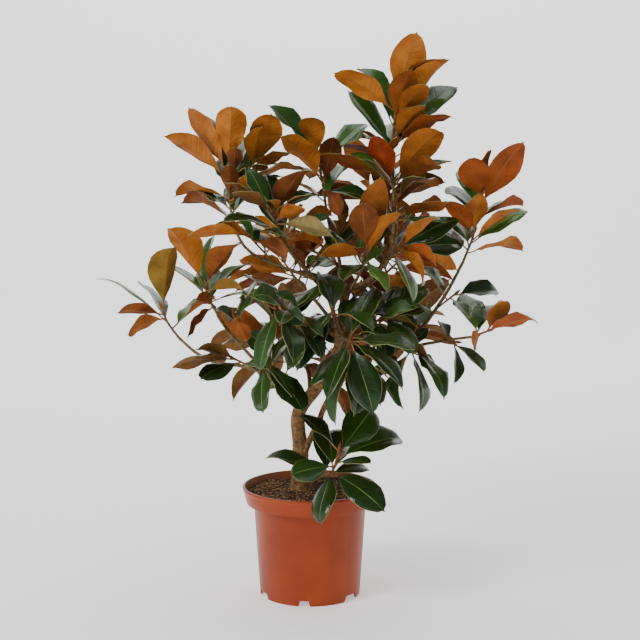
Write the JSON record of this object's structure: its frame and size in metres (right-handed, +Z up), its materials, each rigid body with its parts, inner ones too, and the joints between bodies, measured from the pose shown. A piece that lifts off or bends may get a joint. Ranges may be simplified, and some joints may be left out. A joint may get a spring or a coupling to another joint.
{
  "type": "potted magnolia tree",
  "caption": "Young evergreen magnolia with glossy green leaves, rust-felted beneath, on a forked trunk in a round nursery pot.",
  "frame": {"origin": "centre of the pot's flat underside, on the surface it stands on", "axes": "+Z up along the plant; -Y is the front that the picture shows; +X is to the right seen from the front"},
  "size_m": [0.7531, 0.5734, 0.9851],
  "materials": {
    "pot_plastic": "satin",
    "potting_soil": "matte",
    "bark": "rough",
    "foliage_green": "gloss",
    "foliage_rust": "felted"
  },
  "bodies": {
    "root": {"pot": "pot_plastic", "root_ball": "potting_soil", "trunk": "bark", "stem_second": "bark", "bough_left": "bark", "bough_left_middle": "bark", "bough_upper_left": "bark", "bough_shoulder": "bark", "bough_leader": "bark", "bough_top_middle": "bark", "bough_top_front": "bark", "bough_right_middle": "bark", "bough_front_left": "bark", "bough_front_low": "bark", "bough_rear_left": "bark", "bough_rear_middle_left": "bark", "bough_rear_middle_right": "bark", "bough_rear_top": "bark", "bough_rear_right": "bark", "bough_right_tall": "bark", "bough_right_low": "bark", "shoot_basal": "bark", "foliage_apex": "foliage_rust", "foliage_upper_left": "foliage_rust", "foliage_top_middle": "foliage_green", "foliage_left_front": "foliage_green", "foliage_front_top": "foliage_rust", "foliage_right_centre": "foliage_green", "foliage_right_middle": "foliage_green", "foliage_right_tall": "foliage_rust", "foliage_right_side": "foliage_green", "foliage_right_low": "foliage_rust", "foliage_right_hanging": "foliage_green", "foliage_right_inner": "foliage_green", "foliage_left_far": "foliage_rust", "foliage_left_middle": "foliage_rust", "foliage_left_upper": "foliage_rust", "foliage_left_low": "foliage_green", "foliage_left_inner": "foliage_green", "foliage_front_left": "foliage_green", "foliage_front_middle": "foliage_green", "foliage_front_low": "foliage_green", "foliage_left_drooping": "foliage_green", "foliage_basal": "foliage_green", "foliage_rear_left": "foliage_green", "foliage_rear_right": "foliage_green", "foliage_rear_middle_left": "foliage_green", "foliage_rear_middle_right": "foliage_green", "foliage_rear_top": "foliage_green"}
  },
  "joints": []
}
